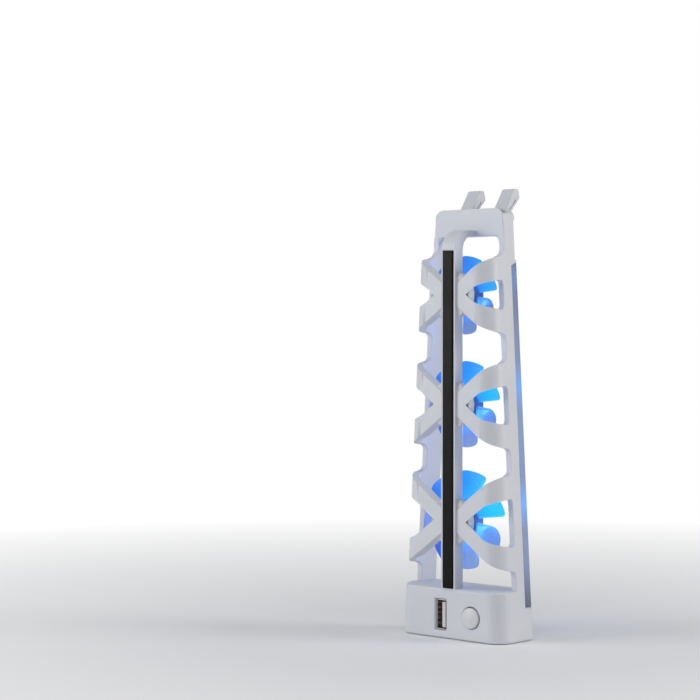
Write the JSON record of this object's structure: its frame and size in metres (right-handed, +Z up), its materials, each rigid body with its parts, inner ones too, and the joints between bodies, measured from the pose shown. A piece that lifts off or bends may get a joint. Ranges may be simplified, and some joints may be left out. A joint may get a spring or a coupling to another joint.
{
  "type": "console cooling fan",
  "caption": "Clip-on console cooler: tapering skeleton frame with round fans on a central spine, a control box with socket, plug and button at the foot, and hooks at the head.",
  "frame": {"origin": "middle of the underside of the control box, where the part stands", "axes": "+X to the right of someone who looks at the front, +Y into the console, +Z up along the spine"},
  "size_m": [0.059, 0.0351, 0.1973],
  "materials": {
    "shell_white": "satin moulded plastic",
    "strip_black": "gloss black plastic",
    "light_guide": "milky light guide",
    "rotor_clear": "clear tinted plastic",
    "board_green": "solder mask",
    "nickel": "nickel plated sheet",
    "contact_gold": "gold plated strip",
    "insulator_black": "moulded insulator",
    "steel": "ground steel",
    "bearing_bronze": "sintered bronze",
    "winding_copper": "enamelled wire",
    "core_steel": "laminated core",
    "magnet_grey": "bonded magnet",
    "led_lens": "light source lens",
    "wire_sleeve": "wire sleeve",
    "header_ivory": "moulded header",
    "screw_dark": "dark zinc",
    "board_white": "white solder mask"
  },
  "bodies": {
    "frame": {"main_frame": "shell_white", "spine_cover": "strip_black", "box_rear_cover": "shell_white", "hook_bracket": "shell_white", "cover_screws": "screw_dark", "hook_screws": "screw_dark", "light_bar_left": "light_guide", "light_bar_right": "light_guide", "led_board_left": "board_white", "led_board_right": "board_white", "side_leds": "led_lens", "usb_board": "board_green", "control_board": "board_green", "usb_socket_shell": "nickel", "usb_socket_tongue": "insulator_black", "usb_plug_shell": "nickel", "usb_plug_tongue": "insulator_black", "usb_contacts": "contact_gold", "tact_switch": "insulator_black", "wire_header": "header_ivory", "fan_wires": "wire_sleeve", "bearing_lower": "bearing_bronze", "stator_lower": "core_steel", "coils_lower": "winding_copper", "motor_board_lower": "board_green", "fan_leds_lower": "led_lens", "bearing_middle": "bearing_bronze", "stator_middle": "core_steel", "coils_middle": "winding_copper", "motor_board_middle": "board_green", "fan_leds_middle": "led_lens", "bearing_upper": "bearing_bronze", "stator_upper": "core_steel", "coils_upper": "winding_copper", "motor_board_upper": "board_green", "fan_leds_upper": "led_lens"},
    "button": {"power_button": "shell_white", "switch_plunger": "insulator_black"},
    "fan_lower": {"rotor_lower": "rotor_clear", "magnet_lower": "magnet_grey", "shaft_lower": "steel", "retainer_lower": "header_ivory"},
    "fan_middle": {"rotor_middle": "rotor_clear", "magnet_middle": "magnet_grey", "shaft_middle": "steel", "retainer_middle": "header_ivory"},
    "fan_upper": {"rotor_upper": "rotor_clear", "magnet_upper": "magnet_grey", "shaft_upper": "steel", "retainer_upper": "header_ivory"}
  },
  "joints": [
    {"name": "button_press", "type": "slide", "parent": "frame", "child": "button", "axis": [0, 1, 0], "range_m": [0, 0.0005], "stiffness_N_per_m": 3000},
    {"name": "fan_lower_spin", "type": "hinge", "parent": "frame", "child": "fan_lower", "pos_m": [0, -0.0001, 0.0514], "axis": [0, -1, 0], "continuous": true},
    {"name": "fan_middle_spin", "type": "hinge", "parent": "frame", "child": "fan_middle", "pos_m": [0, -0.0001, 0.1022], "axis": [0, -1, 0], "continuous": true},
    {"name": "fan_upper_spin", "type": "hinge", "parent": "frame", "child": "fan_upper", "pos_m": [0, -0.0001, 0.1501], "axis": [0, -1, 0], "continuous": true}
  ]
}
